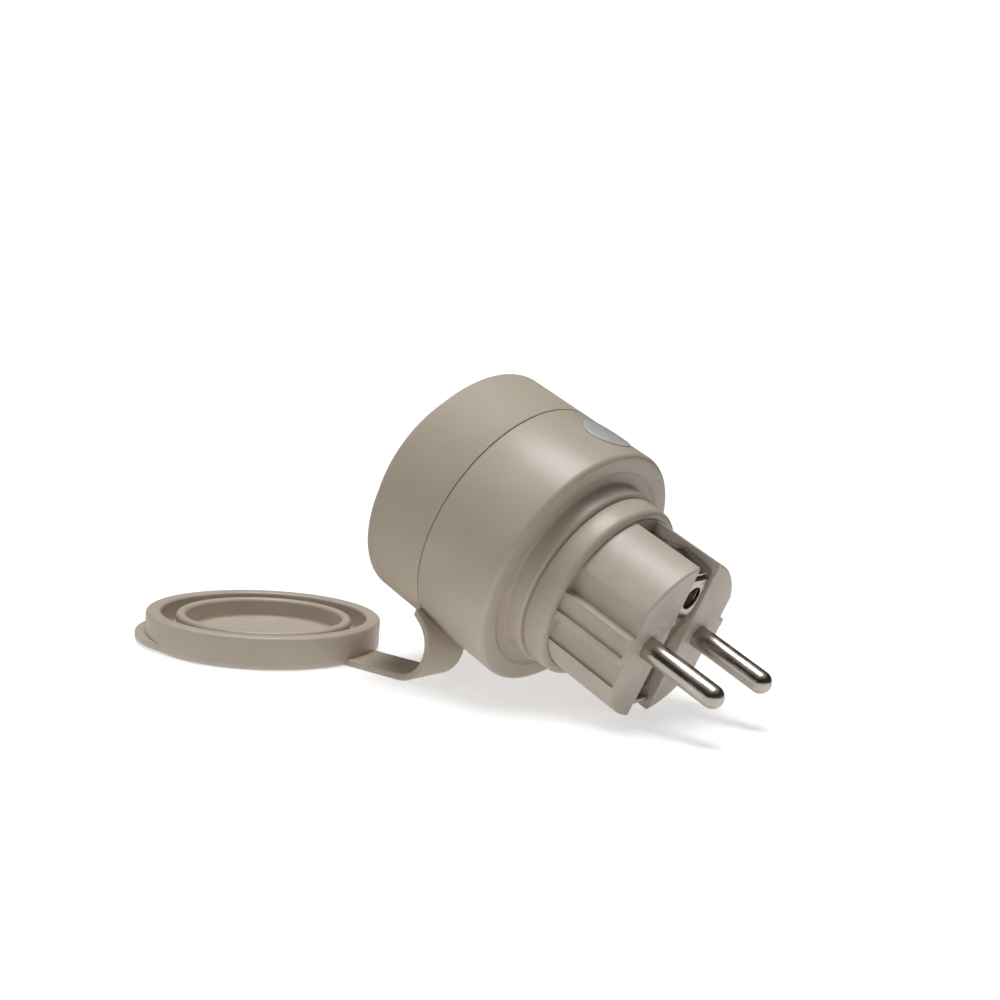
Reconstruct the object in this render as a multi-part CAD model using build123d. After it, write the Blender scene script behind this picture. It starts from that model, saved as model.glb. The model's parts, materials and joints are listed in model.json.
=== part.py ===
from build123d import *
import math
import os

os.makedirs("parts", exist_ok=True)

# Outdoor smart plug lying on a table, its socket cap open beside it on a rubber strap.
# Body axes: x along the plug pins (plug face at 0, pins to +x), z towards the button, y across. Millimetres.
# Everything is laid down by lean_deg about y at the end, with the table at z = 0.

# Overall
lean_deg = 23.2
body_r = 28.0
face_to_front = 62.6
face_to_seam = 46.2
face_to_rear = 26.7
collar_reach = 4.0
collar_wall = 1.65
cover_wall = 2.1
boot_wall = 2.2
shell_wall = 1.4
seam_gap = 0.2

# Plug insert and pins
insert_r = 18.3
insert_wall = 2.0
insert_face = 2.4
insert_edge = 0.5
flange_reach = 3.1
neck_wall = 2.6
neck_collar_wall = 1.9
neck_len = 9.5
pin_r = 2.4
pin_pitch = 19.0
pin_len = 19.0
pin_root_r = 2.15
pin_fit = 0.03
boss_r = 4.2
slot_half = 3.8
slot_len = 17.0
slot_deep = 3.5
channel_half = 3.6
channel_deep = 3.4
notch_half = 8.5
notch_deep = 2.7
guide_half = 2.9
earth_hole_z = 10.0
earth_hole_r = 2.55
earth_hole_end = 15.4
plate_sunk = 1.0
strap_sunk = 2.7
strap_wide_half = 3.3
clip_half = 3.5
sheet = 0.8
screw_r = 1.05
screw_free = 0.25

# Socket
recess_r = 20.0
recess_deep = 17.5
cup_wall = 1.25
plate_t = 2.5
socket_hole_r = 2.6
rib_half = 2.4
rib_rise = 3.0
window_half = 3.0

# Shutter
post_r = 1.5
post_fit = 0.05
wing_t = 1.1
wing_reach = 13.5
wing_half_deg = 18.0
shutter_turn_deg = 38.0

# Button
button_at = 35.7
button_r = 5.6
button_fit = 0.1
button_proud = 0.3
button_lip = 1.0
button_turn_deg = 5.0
button_travel = 0.6
flange_drop = 2.2
flange_t = 0.8
board_drop = 4.0

# Cap and strap
cap_inset = 1.4
cap_h = 7.3
cap_floor = 2.4
rim_fit = 0.35
ring_fit = 0.1
ring_t = 2.2
ring_h = 6.9
cap_x = -95.85
cap_y = -21.75
tab_reach = 2.7
tab_side_deg = 210.0
strap_t = 1.5
strap_half = 6.0
strap_y = -15.5
curl_r = 7.0
curl_x = -54.4
fold_gap = 0.85
fold_skew = 0.36
soft_gap = 0.3

front_x = -face_to_front
seam_x = -face_to_seam
rear_x = -face_to_rear
mouth_x = front_x - collar_reach
floor_x = mouth_x + recess_deep
cup_end = floor_x + plate_t
boot_inner_r = body_r - boot_wall
shell_inner_r = boot_inner_r - shell_wall
boot_back = rear_x - 1.6
shell_back = boot_back - 1.5
gasket_back = shell_back - 0.5
flange_back = gasket_back - 1.3
insert_bore_r = insert_r - insert_wall
half_pitch = pin_pitch / 2
cup_outer_r = recess_r + cup_wall
collar_r = cup_outer_r + collar_wall
neck_r = insert_r + neck_wall
neck_collar_r = insert_r + neck_collar_wall
flange_r = insert_r + flange_reach
slot_floor = insert_r - slot_deep
notch_floor = insert_r - notch_deep
step_r = body_r - 4.0
button_flange_r = button_r + button_lip
flange_low = boot_inner_r - flange_drop
cap_r = body_r - cap_inset
rim_inner_r = collar_r + rim_fit
fold_x = cap_x + cap_r + fold_gap

nodes = {}


def rod(r, x0, x1, y=0.0, z=0.0):
    return Pos((x0 + x1) / 2, y, z) * Rot(0, 90, 0) * Cylinder(r, x1 - x0)


def post(r, z0, z1, x=0.0, y=0.0):
    return Pos(x, y, (z0 + z1) / 2) * Cylinder(r, z1 - z0)


def block(x0, x1, y0, y1, z0, z1):
    return Pos((x0 + x1) / 2, (y0 + y1) / 2, (z0 + z1) / 2) * Box(abs(x1 - x0), abs(y1 - y0), abs(z1 - z0))


def ring(outer, inner, x0, x1):
    return rod(outer, x0, x1) - rod(inner, x0 - 1, x1 + 1)


# A body of revolution about x from its outline (x, r).
def turned(*outline):
    return revolve(make_face(Polyline(*outline, close=True)), Axis.X)


# Rounds the circular edges of radius r at x.
def soften(part, x, r, amount):
    rims = []
    for edge in part.edges():
        if edge.geom_type == GeomType.CIRCLE and abs(edge.radius - r) < 0.01:
            if abs(edge.arc_center.X - x) < 0.01:
                rims.append(edge)
    return fillet(rims, amount)


# A bent strip: straight runs through (x, z) points, joined by round bends.
def strip(points, thick, y0, y1):
    runs = []
    for (xa, za), (xb, zb) in zip(points, points[1:]):
        length = math.hypot(xb - xa, zb - za)
        angle = math.degrees(math.atan2(zb - za, xb - xa))
        place = Pos((xa + xb) / 2, (y0 + y1) / 2, (za + zb) / 2) * Rot(0, -angle, 0)
        runs.append(place * Box(length, y1 - y0, thick))
    for x, z in points[1:-1]:
        runs.append(Pos(x, (y0 + y1) / 2, z) * Rot(90, 0, 0) * Cylinder(thick / 2, y1 - y0))
    bent = runs[0]
    for run in runs[1:]:
        bent = bent + run
    return bent


# A wound wire round z, or round x when along_x is true, from its low end upward.
def coil(r, wire, turns, height, along_x=False):
    path = Helix(height / turns, height, r)
    wound = sweep(Plane(origin=path @ 0, z_dir=path % 0) * Circle(wire), path=path)
    if along_x:
        wound = Rot(0, 90, 0) * wound
    return wound


# Front cover: shell, annular front face and the raised socket collar.
cover = turned(
    (front_x, body_r),
    (seam_x - seam_gap / 2, body_r),
    (seam_x - seam_gap / 2, body_r - cover_wall),
    (front_x + 2.6, body_r - cover_wall),
    (front_x + 2.6, cup_outer_r),
    (mouth_x, cup_outer_r),
    (mouth_x, collar_r),
    (front_x, collar_r),
)
cover = soften(cover, front_x, body_r, 0.8)
cover = soften(cover, mouth_x, collar_r, 0.8)
nodes["front_cover"] = cover

# Socket cup with guide ribs at the sides, earth windows above and below and the two pin holes.
cup = turned(
    (mouth_x, cup_outer_r),
    (cup_end, cup_outer_r),
    (cup_end, 0),
    (floor_x, 0),
    (floor_x, recess_r),
    (mouth_x, recess_r),
)
for side in (-1, 1):
    rib = block(floor_x - 12.7, floor_x, -rib_half, rib_half, 0, rib_rise + 0.4)
    rib = rib - Pos(floor_x - 12.7, 0, 0) * Rot(0, 45, 0) * Box(3, 6, 3)
    cup = cup + Rot(-90 * side, 0, 0) * Pos(0, 0, recess_r - rib_rise) * rib
    window_low = side * (recess_r - 3)
    cup = cup - block(floor_x - 11.2, floor_x, -window_half, window_half, window_low, side * (recess_r + 3))
    cup = cup - rod(socket_hole_r, floor_x - 1, cup_end + 1, half_pitch * side)
nodes["socket_cup"] = cup

# Contact carrier: a disc with the shutter's post and stops, and a sleeve round each contact.
disc_x = cup_end + 2.7
carrier = rod(17.0, disc_x, disc_x + 1.1)
for side in (-1, 1):
    outer = block(disc_x + 0.5, disc_x + 13, side * half_pitch - 4.8, side * half_pitch + 4.8, -4.8, 4.8)
    inner = block(disc_x + 1.1, disc_x + 14, side * half_pitch - 4.0, side * half_pitch + 4.0, -4.0, 4.0)
    carrier = carrier + (outer - inner)
for side in (-1, 1):
    carrier = carrier - rod(3.0, disc_x - 1, disc_x + 2, half_pitch * side)
carrier = carrier + rod(post_r, cup_end + 0.15, disc_x + 0.2)
for turn in (-26.0, wing_half_deg + shutter_turn_deg + 8.0):
    for half in (0, 180):
        stop = block(cup_end + 0.2, disc_x + 0.2, 10.6, 12.6, -0.9, 0.9)
        carrier = carrier + Rot(turn + half, 0, 0) * stop
nodes["contact_carrier"] = carrier

# Child shutter: a hub and two wings over the pin holes, turning on the post.
wing_x = cup_end + 0.3
wing_rise = wing_reach * math.tan(math.radians(wing_half_deg))
shutter = rod(4.0, wing_x, wing_x + wing_t)
for side in (-1, 1):
    wedge = Polygon((0, 0), (side * wing_reach, wing_rise), (side * wing_reach, -wing_rise), align=None)
    shutter = shutter + extrude(Plane.YZ.offset(wing_x) * wedge, wing_t, both=True)
shutter = shutter & rod(wing_reach, wing_x, wing_x + wing_t)
shutter = shutter - rod(post_r + post_fit, wing_x - 1, wing_x + 3)
nodes["shutter"] = shutter
spring = Pos(wing_x + wing_t + 0.25, 0, 0) * coil(2.9, 0.2, 2, 0.8, along_x=True)
nodes["shutter_spring"] = spring

# Sprung socket contacts: two leaves joined by a web at the outer side.
for name, side in (("live", -1), ("neutral", 1)):
    near = side * (half_pitch - 3.0)
    far = side * (half_pitch + 3.7)
    low = min(near, far)
    high = max(near, far)
    web = min(far, far - side * 0.6)
    contact = block(disc_x + 1.5, disc_x + 12.5, web, web + 0.6, -3.4, 3.4)
    for level in (-3.4, 2.8):
        contact = contact + block(disc_x + 1.5, disc_x + 12.5, low, high, level, level + 0.6)
    nodes["socket_contact_" + name] = contact

# Socket earth: a hairpin clip above and below, joined by a half ring behind the cup.
earth = ring(cup_outer_r + 2.35, cup_outer_r + 0.55, cup_end + 0.8, cup_end + 1.6)
earth = earth & block(-80, 0, 0, 30, -30, 30)
for side in (-1, 1):
    leaf_z = side * (recess_r - 1.4)
    inner_run = [(floor_x - 10.4, leaf_z), (floor_x - 6, leaf_z - side * 0.8)]
    inner_run = inner_run + [(floor_x - 1.0, leaf_z + side * 0.4)]
    inner_leaf = strip(inner_run, sheet, -2.5, 2.5)
    bend = block(floor_x - 10.8, floor_x - 10.0, -2.5, 2.5, leaf_z - side * 0.4, side * (recess_r + 2.4))
    outer_z = side * (recess_r + 2.0)
    outer_leaf = strip([(floor_x - 10.8, outer_z), (cup_end + 1.6, outer_z)], sheet, -2.5, 2.5)
    earth = earth + inner_leaf + bend + outer_leaf
nodes["socket_earth"] = earth

# Boot: soft sleeve with the stepped collar round the insert; the button shows through it.
boot = turned(
    (seam_x + seam_gap / 2, body_r),
    (rear_x, body_r),
    (rear_x, step_r),
    (rear_x - 0.5, step_r - 0.6),
    (rear_x - 0.5, neck_r),
    (rear_x + 3.7, neck_r),
    (rear_x + 3.7, neck_collar_r - 0.5),
    (rear_x + 4.1, neck_collar_r - 0.5),
    (rear_x + 4.1, neck_collar_r),
    (rear_x + neck_len, neck_collar_r),
    (rear_x + neck_len, insert_r + 0.05),
    (boot_back, insert_r + 0.05),
    (boot_back, boot_inner_r),
    (seam_x + seam_gap / 2, boot_inner_r),
)
boot = soften(boot, rear_x, body_r, 1.2)
boot = soften(boot, rear_x + neck_len, neck_collar_r, 1.3)
boot = soften(boot, rear_x + 3.7, neck_r, 0.5)

# Inner shell: hard cup that carries the boards and takes the insert's screws.
shell = turned(
    (seam_x - 4.5, boot_inner_r - 0.1),
    (seam_x, boot_inner_r - 0.1),
    (boot_back, boot_inner_r),
    (boot_back, insert_r + 0.1),
    (shell_back, insert_r + 0.1),
    (shell_back, shell_inner_r),
    (seam_x - 4.5, shell_inner_r),
)
button_x = -button_at
button_turn = Rot(-button_turn_deg, 0, 0)
boot = boot - button_turn * post(button_r + button_fit, boot_inner_r - 5, body_r + 4, button_x)
flange_room_low = flange_low - button_travel - button_fit
flange_room_high = flange_low + flange_t + button_fit
boot = boot - button_turn * post(button_flange_r + button_fit, flange_room_low, flange_room_high, button_x)
shell = shell - button_turn * post(button_flange_r + 0.3, boot_inner_r - 5, body_r + 4, button_x)

# Seam gasket and insert gasket.
nodes["seam_gasket"] = ring(body_r - 0.5, boot_inner_r + 0.15, seam_x - seam_gap / 2, seam_x + seam_gap / 2)
screw_ring = (insert_r + flange_r) / 2
screw_turns = (45, 135, 225, 315)
gasket = ring(flange_r, insert_r + 0.1, gasket_back, shell_back)
screws = []
flange_holes = []
for turn in screw_turns:
    screw_way = rod(screw_r + screw_free, flange_back - 1, shell_back, screw_ring)
    gasket = gasket - Rot(turn, 0, 0) * screw_way
    flange_holes.append(Rot(turn, 0, 0) * screw_way)
    shell = shell - Rot(turn, 0, 0) * rod(screw_r, shell_back - 1, boot_back - 0.3, screw_ring)
    screw = rod(1.9, flange_back - 1.4, flange_back, screw_ring)
    screw = screw + rod(screw_r, flange_back, boot_back - 0.4, screw_ring)
    screw = screw - block(flange_back - 2, flange_back - 0.8, screw_ring - 2, screw_ring + 2, -0.25, 0.25)
    screws.append(Rot(turn, 0, 0) * screw)
nodes["insert_gasket"] = gasket
nodes["inner_shell"] = shell
nodes["insert_screws"] = Compound(children=screws)

# Plug insert: hollow body with side guides, earth slots, the face channel and the pin bosses.
insert = rod(insert_r, gasket_back - 0.5, 0)
insert = soften(insert, 0, insert_r, insert_edge)
insert = insert + rod(flange_r, flange_back, gasket_back)
hollow = rod(insert_bore_r, flange_back - 1, -insert_face)
for side in (-1, 1):
    wall = block(-26, 0, side * (notch_floor - 1.4), side * 20, -notch_half - 1.2, notch_half + 1.2)
    tray = block(-slot_len - 1.2, 0, -slot_half - 1.2, slot_half + 1.2, side * (slot_floor - 1.2), side * 20)
    hollow = hollow - wall - tray
hollow = hollow - block(-channel_deep - 1.2, 0, -channel_half - 1.2, channel_half + 1.2, -20, 20)
insert = insert - hollow
insert = insert + (rod(boss_r - 0.1, -slot_len, -channel_deep, 0, earth_hole_z))
for side in (-1, 1):
    insert = insert + rod(boss_r, -9.0, -insert_face, half_pitch * side)
    for level in (-1, 1):
        hollow_side = block(-17.6, 1, side * notch_floor, side * 20,
                            level * guide_half, level * notch_half)
        insert = insert - hollow_side
    insert = insert - block(-17.6, 1, side * (insert_r - 0.7), side * 20, -1.3, 1.3)
    insert = insert - block(-slot_len, 1, -slot_half, slot_half, side * slot_floor, side * 20)
insert = insert - block(-channel_deep, 1, -channel_half, channel_half, -20, earth_hole_z + 4.6)
insert = insert - block(-1.6, 1, -channel_half + 0.3, channel_half - 0.3, 0, earth_hole_z + 5.0)
insert = insert - rod(earth_hole_r + 0.8, -slot_len - 1, 0, 0, earth_hole_z)
for hole in flange_holes:
    insert = insert - hole
for side in (-1, 1):
    insert = insert - rod(pin_root_r + pin_fit, -20, 1, half_pitch * side)
nodes["plug_insert"] = insert

# Pins with domed tips, a thinner root through the boss, a stop flange behind it and a solder lug.
for name, side in (("live", -1), ("neutral", 1)):
    y = half_pitch * side
    pin = rod(pin_r, 0, pin_len - pin_r, y) + Pos(pin_len - pin_r, y, 0) * Sphere(pin_r)
    pin = pin + rod(pin_root_r, -10.4, 0, y) + rod(3.2, -9.9, -9.05, y) + rod(1.5, -13.0, -10.4, y)
    nodes["pin_" + name] = pin

# Earth metalwork of the plug: side clips, face plate with the earth pin hole, sleeve behind it.
for name, side in (("top", 1), ("bottom", -1)):
    low = slot_floor + 0.5
    leaf = [(-16.6, side * low), (-12.5, side * (low + 0.1)), (-8.0, side * (low + 1.4))]
    leaf = leaf + [(-3.4, side * (low + 0.8)), (-0.9, side * (low + 0.1))]
    nodes["earth_clip_" + name] = strip(leaf, sheet, -clip_half, clip_half)
face_run = [(-plate_sunk, earth_hole_z + 4.3), (-plate_sunk, 5.6), (-1.5, 3.6), (-2.2, 1.2)]
face_run = face_run + [(-strap_sunk, -1.4), (-strap_sunk, -13.0)]
face_strap = strip(face_run, sheet, -strap_wide_half, strap_wide_half)
nodes["earth_face_strap"] = face_strap - rod(earth_hole_r, -6, 1, 0, earth_hole_z)
sleeve = rod(earth_hole_r + 0.7, -earth_hole_end - 0.6, -plate_sunk - sheet / 2, 0, earth_hole_z)
sleeve = sleeve - rod(earth_hole_r, -earth_hole_end, 0, 0, earth_hole_z)
nodes["earth_pin_sleeve"] = sleeve - nodes["earth_face_strap"]

# Earth lead from the bottom clip's slot back to the socket earth's half ring.
lead_run = [(-19.4, -13.6), (-32.2, -14.2), (-34.6, -20.6), (cup_end + 2.6, -cup_outer_r - 1.35)]
lead = None
for (xa, za), (xb, zb) in zip(lead_run, lead_run[1:]):
    length = math.hypot(xb - xa, zb - za)
    place = Pos((xa + xb) / 2, 0, (za + zb) / 2) * Rot(0, 90 - math.degrees(math.atan2(zb - za, xb - xa)), 0)
    piece = place * Cylinder(0.9, length) + Pos(xb, 0, zb) * Sphere(0.9)
    lead = piece if lead is None else lead + piece
nodes["earth_lead"] = lead

# Power board above the contacts, supply board below, both fed by busbars from the pins.
board_x0 = disc_x + 1.4
board_x1 = flange_back - 0.5
nodes["power_board"] = block(board_x0, board_x1, -21.5, 21.5, 5.4, 7.0)
nodes["supply_board"] = block(board_x0, board_x1, -21.5, 21.5, -7.0, -5.4)
for name, side in (("live", -1), ("neutral", 1)):
    y = half_pitch * side
    bar = strip([(-13.2, 0), (-26.4, 0), (-30.6, 6.2), (board_x1 + 0.1, 6.2)], sheet, y - 2.0, y + 2.0)
    nodes["busbar_" + name] = bar
relay = block(board_x0 + 0.6, board_x1 - 1.8, -17.0, -4.0, 7.05, 16.6)
nodes["relay"] = fillet(relay.edges().filter_by(Axis.Z), 0.6)
nodes["current_shunt"] = strip(
    [(board_x0 + 2, 7.05), (board_x0 + 2, 10.2), (board_x0 + 7, 10.2), (board_x0 + 7, 7.05)], 0.9, -1.5, 1.5
)
varistor = Pos(board_x0 + 5, 8.0, 11.9) * Rot(0, 90, 0) * Cylinder(4.4, 3.0)
varistor = varistor + block(board_x0 + 4.7, board_x0 + 5.3, 5.4, 6.0, 7.05, 9.5)
nodes["varistor"] = varistor + block(board_x0 + 4.7, board_x0 + 5.3, 10.0, 10.6, 7.05, 9.5)
nodes["fuse"] = Pos(board_x0 + 5, 15.8, 9.4) * Rot(90, 0, 0) * Cylinder(2.3, 6.5)
film = block(board_x0 + 1.5, board_x0 + 8.0, 4.0, 16.5, -16.6, -7.05)
nodes["film_capacitor"] = fillet(film.edges(), 0.6)
nodes["bulk_capacitors"] = Compound(
    children=[post(3.2, -17.8, -7.05, board_x0 + 5.4, -4.6), post(3.2, -17.8, -7.05, board_x0 + 5.4, -11.6)]
)
nodes["choke"] = post(2.9, -11.4, -7.05, board_x0 + 5.4, -18.3)

# Control board under the button with its switch, status light and shielded radio.
board_z = flange_low - board_drop
chip_z = board_z + 1.05
control = {
    "control_board": block(board_x0, board_x1 + 0.3, -11.0, 11.0, board_z, board_z + 1.0),
    "radio_shield": block(board_x0 + 1, board_x1 - 1.5, 0.5, 10.0, board_z - 2.0, board_z - 0.05),
    "tact_switch": block(button_x - 2, button_x + 2, -2, 2, chip_z, chip_z + 1.65)
    + post(1.0, chip_z + 1.65, chip_z + 2.2, button_x),
    "status_light": block(button_x - 0.8, button_x + 0.8, 4.6, 6.0, chip_z, chip_z + 0.75),
}

# Push button: a clear cap, its top following the boot's round, with a flange inside, on a coil spring.
button = post(button_r, flange_low, body_r + 2, button_x) & rod(body_r + button_proud, -60, -10)
button = button + post(button_flange_r, flange_low, flange_low + flange_t, button_x)
control["button_cap"] = button
control["button_spring"] = Pos(button_x, 0, board_z + 1.3) * coil(3.7, 0.22, 2.5, 2.4)
for name, solid in control.items():
    nodes[name] = button_turn * solid

# Table level under the laid-down body, and the placing of the body in the row.
lay = Rot(0, lean_deg, 0)
table = min((lay * solid).bounding_box().min.Z for solid in (insert, boot))
body_nodes = list(nodes)

# Strap curl: leaves the boot's underside, turns under and meets the table.
curl_z = table + curl_r + strap_t
mid_r = curl_r + strap_t / 2
rise = math.radians(45)
y0 = strap_y - strap_half
y1 = strap_y + strap_half
curl = Pos(curl_x, strap_y, curl_z) * Rot(90, 0, 0) * (
    Cylinder(curl_r + strap_t, y1 - y0) - Cylinder(curl_r, y1 - y0 + 2)
)
keep = Polygon(
    (curl_x, curl_z - 12),
    (curl_x + 20, curl_z - 12),
    (curl_x + 20, curl_z + 20),
    (curl_x, curl_z),
    align=None,
)
curl = curl & extrude(Plane.XZ * keep, 60, both=True)
start = (curl_x + mid_r * math.cos(rise), curl_z + mid_r * math.sin(rise))
top_run = strip([start, (start[0] - 4.0, start[1] + 4.0)], strap_t, y0, y1)
lift = mid_r + strap_t / 2 + 1.9
lug_at = (curl_x + lift * math.cos(rise), curl_z + lift * math.sin(rise))
lug = strip([(lug_at[0] + 1.5, lug_at[1] - 1.5), (lug_at[0] - 4.0, lug_at[1] + 4.0)], 3.8, y0, y1)
behind_seam = lay * block(seam_x + seam_gap / 2, -10, -60, 60, -60, 60)
inside = lay * rod(boot_inner_r + 0.8, -70, -10)
lug = (lug & behind_seam) - inside
boot = (lay * boot) + lug
curl = ((curl + top_run) & behind_seam) - boot - (lay * rod(body_r - 0.2, -70, -10))
nodes["boot"] = boot
nodes["strap_curl"] = curl

# Strap band: flat on the table, up to the fold at the cap's edge.
far = 40.0
fold_cut = Polygon(
    (fold_x + soft_gap / 2 - fold_skew * far, strap_y + far),
    (fold_x + soft_gap / 2 + fold_skew * far, strap_y - far),
    (0, strap_y - far),
    (0, strap_y + far),
    align=None,
)
past_fold = Pos(0, 0, table - 5) * extrude(fold_cut, 30)
band = block(cap_x, curl_x - soft_gap, y0, y1, table, table + strap_t) & past_fold
nodes["strap_band"] = band

# Cap: floor, rim that seats on the front face, inner ring for the recess, finger tab and strap stub.
ring_r = recess_r - ring_fit
cap = revolve(
    make_face(
        Polyline(
            (0, 0),
            (cap_r, 0),
            (cap_r, cap_h),
            (rim_inner_r, cap_h),
            (rim_inner_r, cap_floor),
            (ring_r, cap_floor),
            (ring_r, ring_h),
            (ring_r - ring_t, ring_h),
            (ring_r - ring_t, cap_floor),
            (0, cap_floor),
            close=True,
        )
    ),
    Axis.Y,
)
cap = Rot(90, 0, 0) * cap
cap = fillet(cap.edges().group_by(Axis.Z)[0], 1.4)
cap = fillet(cap.edges().group_by(Axis.Z)[-1], 0.5)
tab_shift = 2.2 * tab_reach
tab_r = cap_r + tab_reach - tab_shift
tab_turn = math.radians(tab_side_deg)
tab = post(tab_r, 0.4, 2.4, tab_shift * math.cos(tab_turn), tab_shift * math.sin(tab_turn))
tab = fillet(tab.edges().group_by(Axis.Z)[0], 0.6)
tab = fillet(tab.edges().group_by(Axis.Z)[-1], 0.6)
cap = Pos(cap_x, cap_y, table) * (cap + (tab - post(cap_r - 1, 0, 3)))
stub = block(cap_x + rim_inner_r + 1.5, curl_x, y0, y1, table, table + strap_t)
stub = stub - Pos(-soft_gap, 0, 0) * past_fold
cap = cap + (stub - Pos(cap_x, cap_y, 0) * post(cap_r - 0.8, table - 1, table + 5))
nodes["cap"] = cap

# Lays everything down, centres it over the origin and writes one file per node.
laid = {}
for name, solid in nodes.items():
    laid[name] = lay * solid if name in body_nodes else solid
boxes = [solid.bounding_box() for solid in laid.values()]
shift_x = -(min(box.min.X for box in boxes) + max(box.max.X for box in boxes)) / 2
shift_y = -(min(box.min.Y for box in boxes) + max(box.max.Y for box in boxes)) / 2
shift_z = -min(box.min.Z for box in boxes)
for name, solid in laid.items():
    placed = Pos(shift_x, shift_y, shift_z) * solid
    export_step(placed, "parts/" + name + ".step")
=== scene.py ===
import bpy
import bmesh
import json
import math
from mathutils import Matrix, Vector


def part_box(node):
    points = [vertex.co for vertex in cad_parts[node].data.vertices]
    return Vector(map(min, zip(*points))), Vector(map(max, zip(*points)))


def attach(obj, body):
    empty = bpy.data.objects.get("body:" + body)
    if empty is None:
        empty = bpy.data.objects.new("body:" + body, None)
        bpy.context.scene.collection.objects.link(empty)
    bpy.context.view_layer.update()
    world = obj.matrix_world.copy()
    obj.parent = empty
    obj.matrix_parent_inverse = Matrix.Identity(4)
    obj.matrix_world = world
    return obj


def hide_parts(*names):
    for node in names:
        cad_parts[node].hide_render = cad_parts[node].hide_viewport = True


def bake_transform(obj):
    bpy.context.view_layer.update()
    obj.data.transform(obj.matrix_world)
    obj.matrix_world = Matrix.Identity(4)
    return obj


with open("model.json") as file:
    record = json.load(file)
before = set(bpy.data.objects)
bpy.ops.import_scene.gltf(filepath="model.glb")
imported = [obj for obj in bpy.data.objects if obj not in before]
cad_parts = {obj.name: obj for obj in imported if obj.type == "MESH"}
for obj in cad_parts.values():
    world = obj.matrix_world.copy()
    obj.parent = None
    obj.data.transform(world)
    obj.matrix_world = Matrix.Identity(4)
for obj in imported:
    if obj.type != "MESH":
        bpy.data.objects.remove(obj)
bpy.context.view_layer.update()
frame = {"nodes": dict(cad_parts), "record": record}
mm = 0.001
mounts = {mount["name"]: mount for mount in frame["record"]["mounts"]}
pinMount = mounts["pin_live"]
pinWay = Vector(pinMount["axis"])
pinMiddle = (Vector(pinMount["pos_m"]) + Vector(mounts["pin_neutral"]["pos_m"])) / 2
faceCentre = pinMiddle - pinWay * pinMount["dims"]["length_mm"] * mm / 2
leanAngle = math.atan2(-pinWay.z, pinWay.x)
# the plug's own axes: x along the pins, the plug's face at 0
bodyPlace = Matrix.Translation(faceCentre) @ Matrix.Rotation(leanAngle, 4, "Y")
joints = {joint["name"]: joint for joint in frame["record"]["behaviour"]["joints"]}
buttonWay = bodyPlace.to_3x3().inverted() @ -Vector(joints["button_press"]["axis"])
# the same, turned so that z runs along the button's travel
buttonPlace = bodyPlace @ Matrix.Rotation(-math.atan2(buttonWay.y, buttonWay.z), 4, "X")
capCentre = Vector(mounts["cap_outer_face"]["pos_m"])
print("frame loaded, lean", round(math.degrees(leanAngle), 2))


def hexToLinear(code):
    values = []
    for i in (1, 3, 5):
        c = int(code[i:i + 2], 16) / 255
        values.append(c / 12.92 if c <= 0.04045 else ((c + 0.055) / 1.055) ** 2.4)
    return (*values, 1.0)


def addNode(tree, kind, inputs=None, **settings):
    node = tree.nodes.new(kind)
    for key, value in settings.items():
        setattr(node, key, value)
    for socket, value in (inputs or {}).items():
        if isinstance(value, bpy.types.NodeSocket):
            tree.links.new(value, node.inputs[socket])
        else:
            node.inputs[socket].default_value = value
    return node


def startMaterial(name):
    material = bpy.data.materials.new(name)
    material.use_nodes = True
    tree = material.node_tree
    tree.nodes.clear()
    shader = tree.nodes.new("ShaderNodeBsdfPrincipled")
    output = tree.nodes.new("ShaderNodeOutputMaterial")
    tree.links.new(shader.outputs["BSDF"], output.inputs["Surface"])
    coords = tree.nodes.new("ShaderNodeTexCoord")
    return material, tree, shader, coords.outputs["Object"]


def tone(tree, factor, dark, light, low=0.3, high=0.7):
    # colour between two hex values by a 0..1 pattern
    ramp = addNode(tree, "ShaderNodeMapRange", {"Value": factor, "From Min": low, "From Max": high})
    mix = addNode(tree, "ShaderNodeMix", {0: ramp.outputs["Result"]}, data_type="RGBA")
    mix.inputs[6].default_value = hexToLinear(dark)
    mix.inputs[7].default_value = hexToLinear(light)
    return mix.outputs[2]


def bodyMapping(tree, coords):
    # turns object coordinates into the plug's own axes, x along the pins
    back = bodyPlace.inverted()
    turn = back.to_euler()
    return addNode(tree, "ShaderNodeMapping", {
        "Vector": coords, "Location": back.to_translation(), "Rotation": turn,
    }).outputs["Vector"]


# Spark-eroded mould, hard plastic: dull, with a fine even grain that breaks up the highlight.
def erodedPlastic(name, dark, light, roughness=0.62, grain=0.42, depth=0.035):
    material, tree, shader, coords = startMaterial(name)
    cloud = addNode(tree, "ShaderNodeTexNoise", {"Vector": coords, "Scale": 1 / (9 * mm), "Detail": 3.0})
    speck = addNode(tree, "ShaderNodeTexNoise", {"Vector": coords, "Scale": 1 / (grain * mm), "Detail": 2.0})
    both = addNode(tree, "ShaderNodeMath", {0: cloud.outputs[0], 1: speck.outputs[0]}, operation="ADD")
    half = addNode(tree, "ShaderNodeMath", {0: both.outputs[0], 1: 0.5}, operation="MULTIPLY")
    tree.links.new(tone(tree, half.outputs[0], dark, light, 0.35, 0.65), shader.inputs["Base Color"])
    rough = addNode(tree, "ShaderNodeMapRange", {
        "Value": speck.outputs[0], "From Min": 0.3, "From Max": 0.7,
        "To Min": roughness - 0.06, "To Max": roughness + 0.06,
    })
    tree.links.new(rough.outputs["Result"], shader.inputs["Roughness"])
    bump = addNode(tree, "ShaderNodeBump", {
        "Height": speck.outputs[0], "Strength": 0.5, "Distance": depth * mm,
    })
    tree.links.new(bump.outputs["Normal"], shader.inputs["Normal"])
    shader.inputs["IOR"].default_value = 1.52
    return material


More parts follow.
